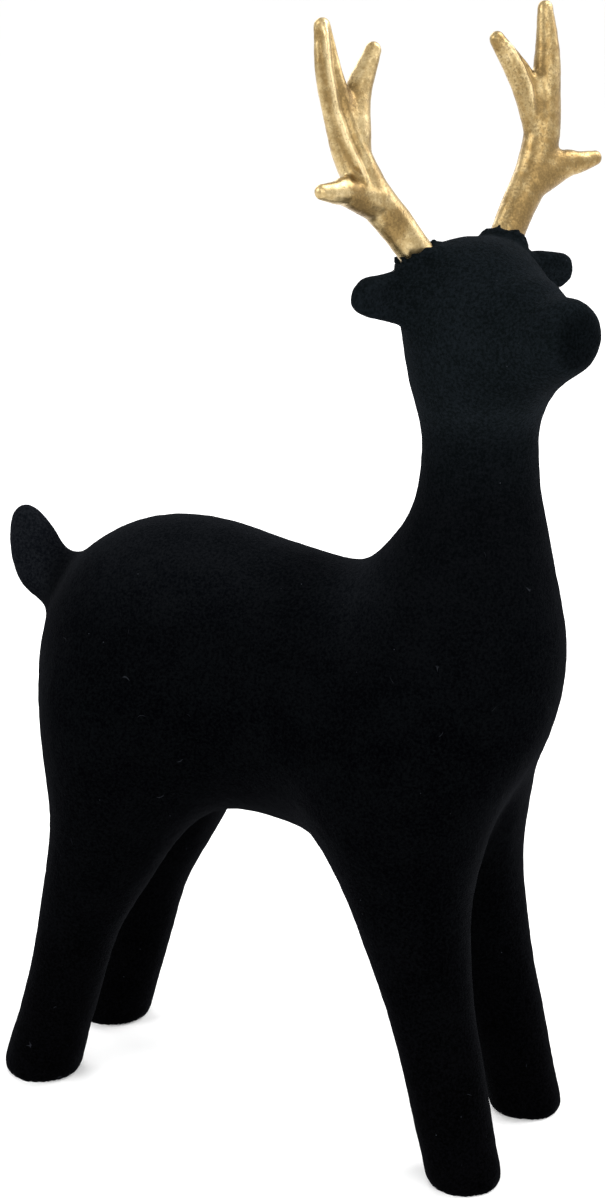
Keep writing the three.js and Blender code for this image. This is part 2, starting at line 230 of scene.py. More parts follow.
def line_distance(
    points: np.ndarray, line: tuple[tuple[float, float], ...]
) -> tuple[np.ndarray, np.ndarray]:
    """How far points in a plane lie from a line through given places, negative on its outer side.

    Args:
        points: Rows of two coordinates.
        line: The places, from the top down.

    Returns:
        Signed distances, at the line's ends those to its end points, and the share of the line that is
        passed there.
    """
    best = np.full(len(points), np.inf)
    signed = np.zeros(len(points))
    passed = np.zeros(len(points))
    pieces = list(zip(line, line[1:]))
    for n, (start, end) in enumerate(pieces):
        a, b = np.array(start), np.array(end)
        along = b - a
        t = np.clip((points - a) @ along / (along @ along), 0, 1)
        off = points - (a + t[:, None] * along)
        gap = np.linalg.norm(off, axis=1)
        turn = np.where(along[0] * off[:, 1] - along[1] * off[:, 0] > 0, 1, -1)
        nearer = gap < best
        best = np.where(nearer, gap, best)
        signed = np.where(nearer, gap * turn, signed)
        passed = np.where(nearer, (n + t) / len(pieces), passed)
    return signed, passed


def smooth_line(stations: np.ndarray, steps: int) -> np.ndarray:
    """A smooth line through stations.

    Args:
        stations: Rows of coordinates, with any further columns carried along.
        steps: Points for each stretch between two stations.

    Returns:
        Rows of the same kind along the line.
    """
    padded = np.vstack([2 * stations[0] - stations[1], stations, 2 * stations[-1] - stations[-2]])
    rows = []
    for a, b, c, d in zip(padded, padded[1:], padded[2:], padded[3:]):
        for t in np.arange(steps) / steps:
            bent = 2 * b + (c - a) * t
            bent = bent + (2 * a - 5 * b + 4 * c - d) * t**2 + (3 * b - a - 3 * c + d) * t**3
            rows.append(0.5 * bent)
    return np.array([*rows, stations[-1]])


def bump(value: np.ndarray, centre: float, width: float) -> np.ndarray:
    """A smooth hump of height 1 about a centre."""
    return np.exp(-(((value - centre) / width) ** 2))


def soft_copy(
    node: bpy.types.Object, name: str, levels: int, rounds: int, reach_mm: float
) -> bpy.types.Object:
    """A rounded copy of a faceted solid, whose surface still passes through the solid's own corners.

    Subdivision alone draws a form in from its corners, so the cage is first let out by as much.

    Args:
        node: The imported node's object.
        name: The new piece's name.
        levels: Subdivision levels.
        rounds: How often the cage is let out.
        reach_mm: The most that a corner of the cage moves.

    Returns:
        The new piece, with its subdivision applied.
    """
    piece = node.copy()
    piece.data = node.data.copy()
    piece.name = piece.data.name = name
    piece.parent = None
    for key in list(piece.keys()):
        del piece[key]
    piece.data.materials.clear()
    bpy.context.scene.collection.objects.link(piece)
    select_only(piece)
    flattest = math.radians(PAIR_DEGREES)
    bpy.ops.object.mode_set(mode="EDIT")
    bpy.ops.mesh.select_all(action="SELECT")
    bpy.ops.mesh.remove_doubles(threshold=MERGE_MM * MM)
    bpy.ops.mesh.tris_convert_to_quads(face_threshold=flattest, shape_threshold=flattest)
    bpy.ops.mesh.customdata_custom_splitnormals_clear()
    bpy.ops.object.mode_set(mode="OBJECT")
    crease_round(piece, [face.center.z < SOLE_MM * MM for face in piece.data.polygons])
    corners = points_of(piece.data)
    cage = corners.copy()
    rounding = piece.modifiers.new("Rounding", "SUBSURF")
    rounding.levels = rounding.render_levels = 1
    for _ in range(rounds):
        depsgraph = bpy.context.evaluated_depsgraph_get()
        rounded = points_of(piece.evaluated_get(depsgraph).data)[: len(corners)]
        cage += corners - rounded
        let_out = cage - corners
        length = np.linalg.norm(let_out, axis=1, keepdims=True)
        cage = corners + let_out * np.minimum(1, reach_mm * MM / np.maximum(length, 1e-9))
        move_points(piece.data, cage)
    rounding.levels = rounding.render_levels = levels
    select_only(piece)
    bpy.ops.object.modifier_apply(modifier=rounding.name)
    return piece


def per_metre(size_mm: float) -> float:
    """The scale of a pattern whose real size is given."""
    return 1 / (size_mm * MM)


def add_node(
    tree: bpy.types.NodeTree,
    kind: str,
    settings: dict[str | int, Any] | None = None,
    links: dict[str | int, bpy.types.NodeSocket] | None = None,
) -> bpy.types.Node:
    """Adds one shader node.

    Args:
        tree: The material's node tree.
        kind: The node's type, such as "ShaderNodeBump".
        settings: Properties of the node, or values of its inputs, by name or number. A colour ramp's
            "stops" are its places from 0 to 1 with their sRGB hex colours.
        links: Outputs of other nodes to join to its inputs, by input name or number.

    Returns:
        The new node.
    """
    node = tree.nodes.new(kind)
    for name, value in (settings or {}).items():
        if name == "stops":
            elements = node.color_ramp.elements
            while len(elements) < len(value):
                elements.new(0.5)
            for element, (place, colour) in zip(elements, value):
                element.position = place
                element.color = linear(colour)
        elif isinstance(name, str) and hasattr(node, name):
            setattr(node, name, value)
        else:
            node.inputs[name].default_value = value
    for name, output in (links or {}).items():
        tree.links.new(output, node.inputs[name])
    return node


# The Mix node's sockets share their names between kinds of data, so they are called by number.
FACTOR, FLOAT_A, FLOAT_B, COLOUR_A, COLOUR_B = 0, 2, 3, 6, 7
FLOAT_OUT, COLOUR_OUT = 0, 2
BLACK, WHITE = "000000", "ffffff"


@dataclass(frozen=True)
class NylonFlock:
    """Black nylon flock, blown upright onto glue.

    It takes nearly all the light that falls straight on it and gives a little back at a grazing angle, so the
    eye sees soot with a faint grey rim. On it sit the fine grain of its tufts, a few specks of lint and short
    curled fibres. Its tones are painted lighter at the face and darker down to the feet, as painted light and
    shade. Each tone is a pair, between the tufts and on them, and the zones are the shares of the figure's
    height from foot to face.

    A real fibre of lint is about 0.02 mm thick. It is drawn about 0.1 mm thick, so that it shows.
    """

    # The tones are painted lighter at the face and darker at the feet, as painted light and shade.
    face: tuple[str, str] = ("070a0b", "101417")
    neck: tuple[str, str] = ("030405", "08090b")
    flank: tuple[str, str] = ("010102", "050607")
    foot: tuple[str, str] = ("010101", "040405")
    zones: tuple[float, float, float, float] = (0.05, 0.4, 0.6, 0.72)
    height_mm: float = 360.0
    lint: str = "2a2c31"
    sheen: float = 0.033
    sheen_tint: str = "bcc0cc"
    sheen_roughness: float = 0.33
    tuft_mm: float = 0.9
    tuft_relief_mm: float = 0.35
    tuft_strength: float = 0.9
    tuft_edge: tuple[float, float] = (0.4, 0.6)
    drift_mm: float = 14.0
    drift_share: float = 0.2
    speck_mm: float = 6.5
    speck_edge: tuple[float, float] = (0.018, 0.035)
    speck_missing: float = 0.6
    fibre_mm: float = 6.0
    fibre_edge: tuple[float, float] = (0.003, 0.007)
    fibre_tone: str = "c0c0c0"
    fibre_spacing_mm: float = 11.0
    fibre_reach: tuple[float, float] = (0.08, 0.13)

    def material(self) -> bpy.types.Material:
        """Builds the flock's material, in Object coordinates.

        Returns:
            The material.
        """
        made = bpy.data.materials.new("nylon_flock")
        made.use_nodes = True
        tree = made.node_tree
        tree.nodes.clear()
        place = add_node(tree, "ShaderNodeTexCoord").outputs["Object"]
        settings = {"Scale": per_metre(self.tuft_mm), "Detail": 3.0, "Roughness": 0.7}
        tufts = add_node(tree, "ShaderNodeTexNoise", settings, {"Vector": place}).outputs["Fac"]
        colour = add_node(
            tree,
            "ShaderNodeMix",
            {"data_type": "RGBA", COLOUR_B: linear(self.lint)},
            {FACTOR: self.dust(tree, place), COLOUR_A: self.pile(tree, place, tufts)},
        )
        relief = add_node(
            tree,
            "ShaderNodeBump",
            {"Strength": self.tuft_strength, "Distance": self.tuft_relief_mm * MM},
            {"Height": tufts},
        )
        flock = add_node(
            tree,
            "ShaderNodeBsdfPrincipled",
            {
                "Roughness": 1.0,
                "Specular IOR Level": 0.0,
                "Sheen Weight": self.sheen,
                "Sheen Roughness": self.sheen_roughness,
                "Sheen Tint": linear(self.sheen_tint),
            },
            {"Base Color": colour.outputs[COLOUR_OUT], "Normal": relief.outputs["Normal"]},
        )
        add_node(tree, "ShaderNodeOutputMaterial", links={"Surface": flock.outputs[0]})
        return made

    def pile(
        self, tree: bpy.types.NodeTree, place: bpy.types.NodeSocket, tufts: bpy.types.NodeSocket
    ) -> bpy.types.NodeSocket:
        """The pile's colour: its grain, in tones painted lighter up to the face, as painted light and shade,
        scaled by the casting's painted light and shade.

        Args:
            tree: The material's node tree.
            place: The Object coordinates.
            tufts: The noise of the tufts.

        Returns:
            The colour output.
        """
        settings = {"Scale": per_metre(self.drift_mm), "Detail": 2.0, "Roughness": 0.5}
        drift = add_node(tree, "ShaderNodeTexNoise", settings, {"Vector": place}).outputs["Fac"]
        both = add_node(
            tree,
            "ShaderNodeMix",
            {"data_type": "FLOAT", FACTOR: self.drift_share},
            {FLOAT_A: tufts, FLOAT_B: drift},
        )
        edge = {"stops": list(zip(self.tuft_edge, (BLACK, WHITE)))}
        mixed = {"Fac": both.outputs[FLOAT_OUT]}
        grain = add_node(tree, "ShaderNodeValToRGB", edge, mixed).outputs["Color"]
        height = add_node(tree, "ShaderNodeSeparateXYZ", links={"Vector": place}).outputs["Z"]
        whole = {"operation": "DIVIDE", 1: self.height_mm * MM}
        share = add_node(tree, "ShaderNodeMath", whole, {0: height}).outputs[0]
        # Painted light and shade: tones darker from the face down to the feet.
        deep, raised = (
            add_node(tree, "ShaderNodeValToRGB", {"stops": list(zip(self.zones, tones))}, {"Fac": share})
            for tones in zip(self.foot, self.flank, self.neck, self.face)
        )
        flat = add_node(
            tree,
            "ShaderNodeMix",
            {"data_type": "RGBA"},
            {FACTOR: grain, COLOUR_A: deep.outputs["Color"], COLOUR_B: raised.outputs["Color"]},
        )
        # Painted light and shade: the nose pad darker, and the throat, withers, croup and tail paler.
        lie = add_node(tree, "ShaderNodeAttribute", {"attribute_name": "lie"}).outputs["Fac"]
        scaled = {0: flat.outputs[COLOUR_OUT], 3: lie}
        return add_node(tree, "ShaderNodeVectorMath", {"operation": "SCALE"}, scaled).outputs[0]

    def dust(self, tree: bpy.types.NodeTree, place: bpy.types.NodeSocket) -> bpy.types.NodeSocket:
        """Where lint lies: short curled fibres along the contours of a noise, and small specks.

        Args:
            tree: The material's node tree.
            place: The Object coordinates.

        Returns:
            The output that is above 0 on the lint.
        """
        settings = {"Scale": per_metre(self.fibre_mm), "Detail": 0.0, "Roughness": 0.5}
        bend = add_node(tree, "ShaderNodeTexNoise", settings, {"Vector": place}).outputs["Fac"]
        off = add_node(tree, "ShaderNodeMath", {"operation": "SUBTRACT", 1: 0.5}, {0: bend}).outputs[0]
        beside = add_node(tree, "ShaderNodeMath", {"operation": "ABSOLUTE"}, {0: off}).outputs[0]
        width = {"stops": list(zip(self.fibre_edge, (self.fibre_tone, BLACK)))}
        thread = add_node(tree, "ShaderNodeValToRGB", width, {"Fac": beside}).outputs["Color"]
        spacing = {"Scale": per_metre(self.fibre_spacing_mm)}
        stretch = add_node(tree, "ShaderNodeTexVoronoi", spacing, {"Vector": place}).outputs["Distance"]
        reach = {"stops": list(zip(self.fibre_reach, (WHITE, BLACK)))}
        kept = add_node(tree, "ShaderNodeValToRGB", reach, {"Fac": stretch}).outputs["Color"]
        times, larger = {"operation": "MULTIPLY"}, {"operation": "MAXIMUM"}
        fibres = add_node(tree, "ShaderNodeMath", times, {0: thread, 1: kept}).outputs[0]

        spacing = {"Scale": per_metre(self.speck_mm), "Randomness": 1.0}
        cell = add_node(tree, "ShaderNodeTexVoronoi", spacing, {"Vector": place})
        size = {"stops": list(zip(self.speck_edge, (WHITE, BLACK)))}
        middle = {"Fac": cell.outputs["Distance"]}
        speck = add_node(tree, "ShaderNodeValToRGB", size, middle).outputs["Color"]
        own = {"Color": cell.outputs["Color"]}
        draw = add_node(tree, "ShaderNodeSeparateColor", links=own).outputs["Red"]
        rare = {"operation": "GREATER_THAN", 1: self.speck_missing}
        chosen = add_node(tree, "ShaderNodeMath", rare, {0: draw}).outputs[0]
        specks = add_node(tree, "ShaderNodeMath", times, {0: speck, 1: chosen}).outputs[0]
        return add_node(tree, "ShaderNodeMath", larger, {0: specks, 1: fibres}).outputs[0]


@dataclass(frozen=True)
class GoldLeaf:
    """Composition gold leaf, rubbed and patinated, over a resin casting.

    Pale warm metal with brown specks where the leaf is broken, which are duller. Its tone is painted paler on
    the carved ridges, as a painted highlight, and darker towards ochre in the grooves beside them, as patina
    and painted shade; spots at the forks and on the beam, and the whole far antler, are painted darker
    towards ochre, as painted shade, with denser patina flecks. The real leaf's cracks are finer than 0.1 mm,
    and are drawn as a mottling of 1.6 mm, so that they show.
    """

    bright: str = "ccb78b"
    leaf: str = "a58f64"
    shade: str = "836b42"
    tones_at: tuple[float, float, float] = (0.36, 0.48, 0.62)
    patina: str = "5c4a2c"
    patina_edge: tuple[float, float] = (0.28, 0.37)
    patina_most: str = "c8c8c8"
    metallic: float = 0.9
    roughness: float = 0.34
    dulling: float = 0.3
    leaf_mm: float = 7.0
    crackle_mm: float = 1.6
    crackle_relief_mm: float = 0.1
    crackle_strength: float = 0.3
    speck_mm: float = 0.7
    # How much the relief paints the tone: a painted highlight on the ridges, and patina and painted shade in
    # the grooves.
    relief_light: float = 0.17
    # How far the painted shade darkens the leaf's tone towards ochre.
    painted_shade_darkening: float = -0.24
    staining: float = 0.11

    def material(self) -> bpy.types.Material:
        """Builds the leaf's material, in Object coordinates.

        Returns:
            The material.
        """
        made = bpy.data.materials.new("gold_leaf")
        made.use_nodes = True
        tree = made.node_tree
        tree.nodes.clear()
        place = add_node(tree, "ShaderNodeTexCoord").outputs["Object"]
        broad, fine, speck = (
            add_node(
                tree,
                "ShaderNodeTexNoise",
                {"Scale": per_metre(size_mm), "Detail": detail, "Roughness": roughness},
                {"Vector": place},
            ).outputs["Fac"]
            for size_mm, detail, roughness in (
                (self.leaf_mm, 4.0, 0.6),
                (self.crackle_mm, 6.0, 0.75),
                (self.speck_mm, 2.0, 0.6),
            )
        )
        relief, tarnish = (
            add_node(tree, "ShaderNodeAttribute", {"attribute_name": name}).outputs["Fac"]
            for name in ("relief", "tarnish")
        )
        mixed = add_node(tree, "ShaderNodeMath", {"operation": "ADD"}, {0: broad, 1: fine}).outputs[0]
        half = add_node(tree, "ShaderNodeMath", {"operation": "MULTIPLY", 1: 0.5}, {0: mixed}).outputs[0]
        # Painted highlight on the ridges, and patina and painted shade in the grooves, from the carved
        # relief.
        gain = {"operation": "MULTIPLY_ADD", 1: self.relief_light}
        relief_lit = add_node(tree, "ShaderNodeMath", gain, {0: relief, 2: half}).outputs[0]
        # Painted shade: the tone darkens towards ochre at the forks, on the beam and over the whole far
        # antler.
        gain = {"operation": "MULTIPLY_ADD", 1: self.painted_shade_darkening}
        painted_darker = add_node(tree, "ShaderNodeMath", gain, {0: tarnish, 2: relief_lit}).outputs[0]
        tones = {"stops": list(zip(self.tones_at, (self.shade, self.leaf, self.bright)))}
        metal = add_node(tree, "ShaderNodeValToRGB", tones, {"Fac": painted_darker}).outputs["Color"]
        both = add_node(tree, "ShaderNodeMath", {"operation": "MULTIPLY"}, {0: fine, 1: speck}).outputs[0]
        # Denser patina flecks where the shade is painted.
        gain = {"operation": "MULTIPLY_ADD", 1: self.staining}
        aged = add_node(tree, "ShaderNodeMath", gain, {0: tarnish, 2: both}).outputs[0]
        edge = {"stops": list(zip(self.patina_edge, (BLACK, self.patina_most)))}
        dark = add_node(tree, "ShaderNodeValToRGB", edge, {"Fac": aged}).outputs["Color"]
        colour = add_node(
            tree,
            "ShaderNodeMix",
            {"data_type": "RGBA", COLOUR_B: linear(self.patina)},
            {FACTOR: dark, COLOUR_A: metal},
        )
        gain = {"operation": "MULTIPLY_ADD", 1: self.dulling, 2: self.roughness}
        dull = add_node(tree, "ShaderNodeMath", gain, {0: dark}).outputs[0]
        raised = add_node(
            tree,
            "ShaderNodeBump",
            {"Strength": self.crackle_strength, "Distance": self.crackle_relief_mm * MM},
            {"Height": fine},
        )
        gilt = add_node(
            tree,
            "ShaderNodeBsdfPrincipled",
            {"Metallic": self.metallic},
            {"Base Color": colour.outputs[COLOUR_OUT], "Normal": raised.outputs["Normal"], "Roughness": dull},
        )
        add_node(tree, "ShaderNodeOutputMaterial", links={"Surface": gilt.outputs[0]})
        return made


# Forward and to the head's right: the way the antlers' carved fronts look, where the collars stand tallest.
FRONT = (0.78, -0.62)


@dataclass
class Head:
    """The head's own frame, in millimetres: X to the nose, Y to its left ear, Z up."""

    place: tuple[float, float, float] = (59.43, 0.21, 270.0)
    turn: float = -28.0
    lean: float = 1.7
    antler_lean: float = 10.0
    seat: tuple[float, float] = (9.0, 9.8)
    crown_radius: float = 11.2
    root_direction: tuple[float, float] = (8.3, 10.7)

    def frame(self) -> Matrix:
        """The head's frame as a matrix in metres."""
        turned = Matrix.Rotation(math.radians(self.turn), 4, "Z")
        leaned = Matrix.Rotation(math.radians(self.lean), 4, "X")
        return Matrix.Translation(Vector(self.place) * MM) @ (turned @ leaned)

    def local(self, points: np.ndarray) -> np.ndarray:
        """Points in metres of the row's frame as millimetres of the head's."""
        into = np.array(self.frame().inverted())
        return (points @ into[:3, :3].T + into[:3, 3]) / MM

    def placed(self, local: np.ndarray) -> np.ndarray:
        """Points in millimetres of the head's frame as metres of the row's."""
        out = np.array(self.frame())
        return (local * MM) @ out[:3, :3].T + out[:3, 3]

    def leaned_back(self) -> Matrix:
        """The head's frame leaned back into the plane of the antlers."""
        return self.frame() @ Matrix.Rotation(math.radians(-self.antler_lean), 4, "Y")

    def antler_frame(self, side: Side) -> Matrix:
        """The frame of an antler's own plane: X forward, Y out to its side, Z up, from its seat."""
        mirrored = Matrix.Diagonal((1, side.value, 1, 1))
        return self.leaned_back() @ mirrored @ Matrix.Translation(Vector((0, *self.seat)) * MM)

    def root(self, side: Side) -> tuple[Vector, Vector]:
        """The mouth of an antler's socket and the way the antler leaves it.

        Args:
            side: Which antler.

        Returns:
            The mouth's place in metres and the unit direction, both in the row's frame.
        """
        direction = Vector((0, *self.root_direction)).normalized()
        mouth = Vector((0, *self.seat)) + direction * self.crown_radius
        for v in (direction, mouth):
            v.y *= side.value
        leaned = self.leaned_back()
        return leaned @ (mouth * MM), (leaned.to_3x3() @ direction).normalized()


@dataclass
class Collars:
    """The ragged rings of flock and glue round the antlers' roots, in millimetres.

    A ring is a row of stretched lumps of uneven size. On its front they stand taller and longer, and on its
    outer side they lie closer, lower and thinner.
    """

    head: Head
    tufts: int = 15
    seed: int = 4
    ring_radius: float = 6.9
    tuft_radius: float = 1.6
    slope: float = 0.3
    tilt: float = 0.6
    front_rise: float = 1.9
    outer_drop: float = 1.2
    outer_in: float = 1.1
    outer_thinning: float = 0.3
    stretch: tuple[float, float, float] = (0.75, 1.1, 1.2)
    turn_spread: float = 0.3
    size_range: tuple[float, float] = (0.7, 1.3)
    out_spread: float = 0.5
    rise_range: tuple[float, float] = (-0.4, 1.2)
    length_spread: float = 0.8
    plug_radius: float = 6.4
    plug_depth: float = 9.0
    plug_sink: float = 4.0

    def build(self) -> list[bpy.types.Object]:
        """Makes both rings.

        Returns:
            The plugs and then the lumps, as loose pieces to be joined to the body.
        """
        rng = np.random.default_rng(self.seed)
        made = [self.plug(side) for side in Side]
        return made + [self.lump(rng, side, n) for side in Side for n in range(self.tufts)]

    def plug(self, side: Side) -> bpy.types.Object:
        """The plug of glue that closes the crown round an antler's root.

        Args:
            side: Which antler.

        Returns:
            The plug.
        """
        mouth, direction = self.head.root(side)
        bpy.ops.object.select_all(action="DESELECT")
        bpy.ops.mesh.primitive_cylinder_add(
            vertices=24,
            radius=self.plug_radius * MM,
            depth=self.plug_depth * MM,
            location=mouth - direction * self.plug_sink * MM,
            rotation=direction.to_track_quat("Z", "Y").to_euler(),
        )
        return bpy.context.active_object

    def lump(self, rng: np.random.Generator, side: Side, number: int) -> bpy.types.Object:
        """One tuft of a ring.

        Args:
            rng: The random draws, which go on from tuft to tuft.
            side: Which antler's ring.
            number: The tuft's number round the ring.

        Returns:
            The lump, with its place in its mesh.
        """
        mouth, direction = self.head.root(side)
        upright = direction.to_track_quat("Z", "Y").to_matrix().to_4x4()
        head = self.head.frame().to_3x3()
        turn = 2 * math.pi * (number + rng.uniform(-self.turn_spread, self.turn_spread)) / self.tufts
        radius = self.tuft_radius * rng.uniform(*self.size_range)
        spot = upright.to_3x3() @ Vector((math.cos(turn), math.sin(turn), 0))
        outer = max(0.0, spot.dot(head @ Vector((0.0, side.value, 0.0))))
        front = max(0.0, spot.dot(head @ Vector((*FRONT, 0.0))))
        out = self.ring_radius + rng.uniform(-self.out_spread, self.out_spread) - self.outer_in * outer
        radius *= 1 - self.outer_thinning * outer
        rise = rng.uniform(*self.rise_range) - self.slope * out * spot.z / self.tilt
        rise += self.front_rise * front - self.outer_drop * outer
        local = Vector((out * math.cos(turn), out * math.sin(turn), rise)) * MM
        place = Matrix.Translation(mouth) @ upright @ local
        bpy.ops.object.select_all(action="DESELECT")
        bpy.ops.mesh.primitive_ico_sphere_add(subdivisions=3, radius=radius * MM, location=place)
        lump = bpy.context.active_object
        lump.rotation_euler = (upright @ Matrix.Rotation(turn, 4, "Z")).to_euler()
        thick, wide, tall = self.stretch
        lump.scale = (thick, wide, tall + rng.uniform(0.0, self.length_spread) + front)
        bpy.ops.object.transform_apply(location=True, rotation=True, scale=True)
        return lump


@dataclass(frozen=True)
class PaintedLight:
    """Painted light and shade on the flock, as a factor on its colour.

    The nose pad is painted darker, as painted shade, and the throat, the withers, the croup and the tail are
    painted paler, as painted light.
    Places and spans are millimetres, of the head's frame for the nose and the throat and of the row's frame
    for the others.
    """

    nose: float = 0.5
    nose_span: tuple[float, float] = (47.0, 50.5)
    throat: float = 0.45
    throat_up: float = -26.0
    throat_width: float = 6.0
    tail: float = 2.3
    tail_back: tuple[float, float] = (82.0, 92.0)
    tail_up: tuple[float, float] = (160.0, 172.0)
    croup: float = 0.8
    croup_back: tuple[float, float] = (-20.0, 10.0)
    croup_up: tuple[float, float] = (165.0, 192.0)
    withers: float = 1.1
    withers_at: tuple[float, float] = (30.0, 190.0)
    withers_width: float = 14.0

    def over(self, points: np.ndarray, head: Head) -> np.ndarray:
        """The factor at each point.

        Args:
            points: Places in metres of the row's frame.
            head: The head whose frame the nose and the throat lie in.

        Returns:
            One number a point, 1 where no light or shade is painted.
        """
        local = head.local(points)
        x, z = points[:, 0] / MM, points[:, 2] / MM
        nose = smooth_step(local[:, 0], *self.nose_span)
        throat = bump(local[:, 2], self.throat_up, self.throat_width)
        tail = smooth_step(-x, *self.tail_back) * smooth_step(z, *self.tail_up)
        croup = smooth_step(z, *self.croup_up) * smooth_step(-x, *self.croup_back) * (1 - tail)
        withers = bump(np.hypot(x - self.withers_at[0], z - self.withers_at[1]), 0, self.withers_width)
        # Painted shade on the nose pad, and painted light at the throat, the withers, the croup and the tail.
        lie = 1 - self.nose * nose + self.throat * throat
        return lie + self.tail * tail + self.croup * croup + self.withers * withers


@dataclass
class Casting:
    """The flocked body: trunk, legs, neck, head, ears, tail and collars. Lengths are in millimetres."""

    head: Head
    finish: NylonFlock
    # Painted light and shade on the pile's colour.
    lie: PaintedLight = PaintedLight()

    # The rounded copy of the solid, and the skin over it.
    levels: int = 2
    cage_rounds: int = 4
    cage_reach: float = 1.2
    voxel: float = 1.28
    # Rounds of evening: over all but the collars, over the trunk, neck and legs, and over all.
    skin_rounds: int = 24
    limb_rounds: int = 66
    last_rounds: int = 4
    collar_span: tuple[float, float] = (8.5, 14.0)
    foot_span: tuple[float, float] = (10.0, 26.0)
    neck_span: tuple[float, float] = (195.0, 215.0)
    tail_back: tuple[float, float] = (-80.0, -66.0)
    tail_up: tuple[float, float] = (138.0, 150.0)
    sole: float = 0.35
    # The ears' last form, and the bridge of the nose.
    ear_up: float = 8.8
    ear_half_height: float = 10.0
    ear_draw_span: tuple[float, float] = (23.0, 39.0)
    ear_draw_below: float = 0.3
    ear_draw_above: float = 0.06
    ear_shorter: float = 0.7
    ear_shorter_span: tuple[float, float] = (30.0, 42.0)
    cup_depth: float = 1.4
    cup_out: float = 29.0
    cup_half_length: float = 11.5
    cup_half_height: float = 5.4
    cup_soft: float = 0.75
    cup_facing: tuple[float, float] = (0.2, 0.7)
    cup_back: float = -4.0
    cup_inner: float = 16.0
    bridge_rise: float = 2.3
    bridge_at: tuple[float, float] = (29.0, 10.0)
    bridge_width: float = 6.5
    bridge_limit: float = 20.0
    # The pile.
    pile_height: float = 0.12
    pile_tuft: float = 3.6
    pile_seed: float = 3.1
    pile_span: tuple[float, float] = (0.2, 2.0)

    def build(self, node: bpy.types.Object) -> bpy.types.Object:
        """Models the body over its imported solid.

        Args:
            node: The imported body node.

        Returns:
            The finished piece.
        """
        piece = soft_copy(node, "flocked_body", self.levels, self.cage_rounds, self.cage_reach)
        self.grow_collars(piece)
        self.knit(piece)
        self.shape_head(piece)
        self.cup_ears(piece)
        self.raise_pile(piece)
        self.paint_light(piece)
        self.dress(piece)
        return piece

    def grow_collars(self, piece: bpy.types.Object) -> None:
        """Joins the two collars' plugs and lumps to the body.

        Args:
            piece: The body.
        """
        lumps = Collars(self.head).build()
        bpy.ops.object.select_all(action="DESELECT")
        for lump in (piece, *lumps):
            lump.select_set(True)
        bpy.context.view_layer.objects.active = piece
        bpy.ops.object.join()

    def knit(self, piece: bpy.types.Object) -> None:
        """Makes one even skin of the body and its lumps, and stands it flat on the ground.

        Args:
            piece: The body.
        """
        apply_modifier(piece, "REMESH", mode="VOXEL", voxel_size=self.voxel * MM, use_smooth_shade=True)
        points = points_of(piece.data)
        mouths = [np.array(self.head.root(side)[0]) for side in Side]
        off_collar = np.min([np.linalg.norm(points - mouth, axis=1) for mouth in mouths], axis=0) / MM
        even_out(piece, self.skin_rounds, smooth_step(off_collar, *self.collar_span))
        x, _, z = points_of(piece.data).T / MM
        limbs = smooth_step(z, *self.foot_span) * (1 - smooth_step(z, *self.neck_span))
        limbs *= np.maximum(smooth_step(x, *self.tail_back), 1 - smooth_step(z, *self.tail_up))
        even_out(piece, self.limb_rounds, limbs)
        even_out(piece, self.last_rounds)
        points = points_of(piece.data)
        points[:, 2] = np.where(points[:, 2] < self.sole * MM, 0, points[:, 2])
        move_points(piece.data, points)

    def shape_head(self, piece: bpy.types.Object) -> None:
        """Draws each ear in towards its tip, most along its lower edge, and fills the bridge of the nose.

        Args:
            piece: The body.
        """
        local = self.head.local(points_of(piece.data))
        side = np.abs(local[:, 1])
        rise = local[:, 2] - self.ear_up
        ear = np.where(np.abs(rise) < self.ear_half_height, 1.0, 0.0)
        share = np.where(rise < 0, self.ear_draw_below, self.ear_draw_above)
        draw = ear * smooth_step(side, *self.ear_draw_span) * share
        local[:, 2] = self.ear_up + rise * (1 - draw)
        shorter = self.ear_shorter * smooth_step(side, *self.ear_shorter_span) * ear
        local[:, 1] -= np.sign(local[:, 1]) * shorter
        off = np.hypot(local[:, 0] - self.bridge_at[0], local[:, 2] - self.bridge_at[1])
        local[:, 2] += self.bridge_rise * bump(off, 0, self.bridge_width) * (side < self.bridge_limit)
        move_points(piece.data, self.head.placed(local))

    def cup_ears(self, piece: bpy.types.Object) -> None:
        """Hollows the front of each ear, deepest along its middle.

        Args:
            piece: The body.
        """
        local = self.head.local(points_of(piece.data))
        forward = (normals_of(piece.data) @ np.array(self.head.frame().inverted())[:3, :3].T)[:, 0]
        side = np.abs(local[:, 1])
        along = (side - self.cup_out) / self.cup_half_length
        across = (local[:, 2] - self.ear_up) / self.cup_half_height
        hollow = smooth_step(1 - along**2 - across**2, 0, self.cup_soft)
        hollow *= smooth_step(forward, *self.cup_facing)
        hollow *= (local[:, 0] > self.cup_back) & (side > self.cup_inner)
        local[:, 0] -= self.cup_depth * hollow
        move_points(piece.data, self.head.placed(local))

    def raise_pile(self, piece: bpy.types.Object) -> None:
        """Roughens the skin a little with the flock's uneven tufts, but not under the feet.

        Args:
            piece: The body.
        """
        mesh = piece.data
        points = points_of(mesh)
        height = ripple(points, self.pile_tuft * MM, self.pile_seed)
        lifted = smooth_step(points[:, 2] / MM, *self.pile_span)
        move_points(mesh, points + normals_of(mesh) * (self.pile_height * MM * height * lifted)[:, None])

    def paint_light(self, piece: bpy.types.Object) -> None:
        """Keeps the painted light and shade as an attribute, for the flock.

        Args:
            piece: The body.
        """
        # The painted light and shade, kept for the flock's colour.
        lie = self.lie.over(points_of(piece.data), self.head)
        stored = piece.data.attributes.new("lie", "FLOAT", "POINT")
        stored.data.foreach_set("value", lie.astype(np.float32))

    def dress(self, piece: bpy.types.Object) -> None:
        """Gives the body its flock and its place in the frame.

        Args:
            piece: The body.
        """
        piece.data.materials.append(self.finish.material())
        piece.data.shade_smooth()
        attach(piece, "root")
        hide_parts("body")


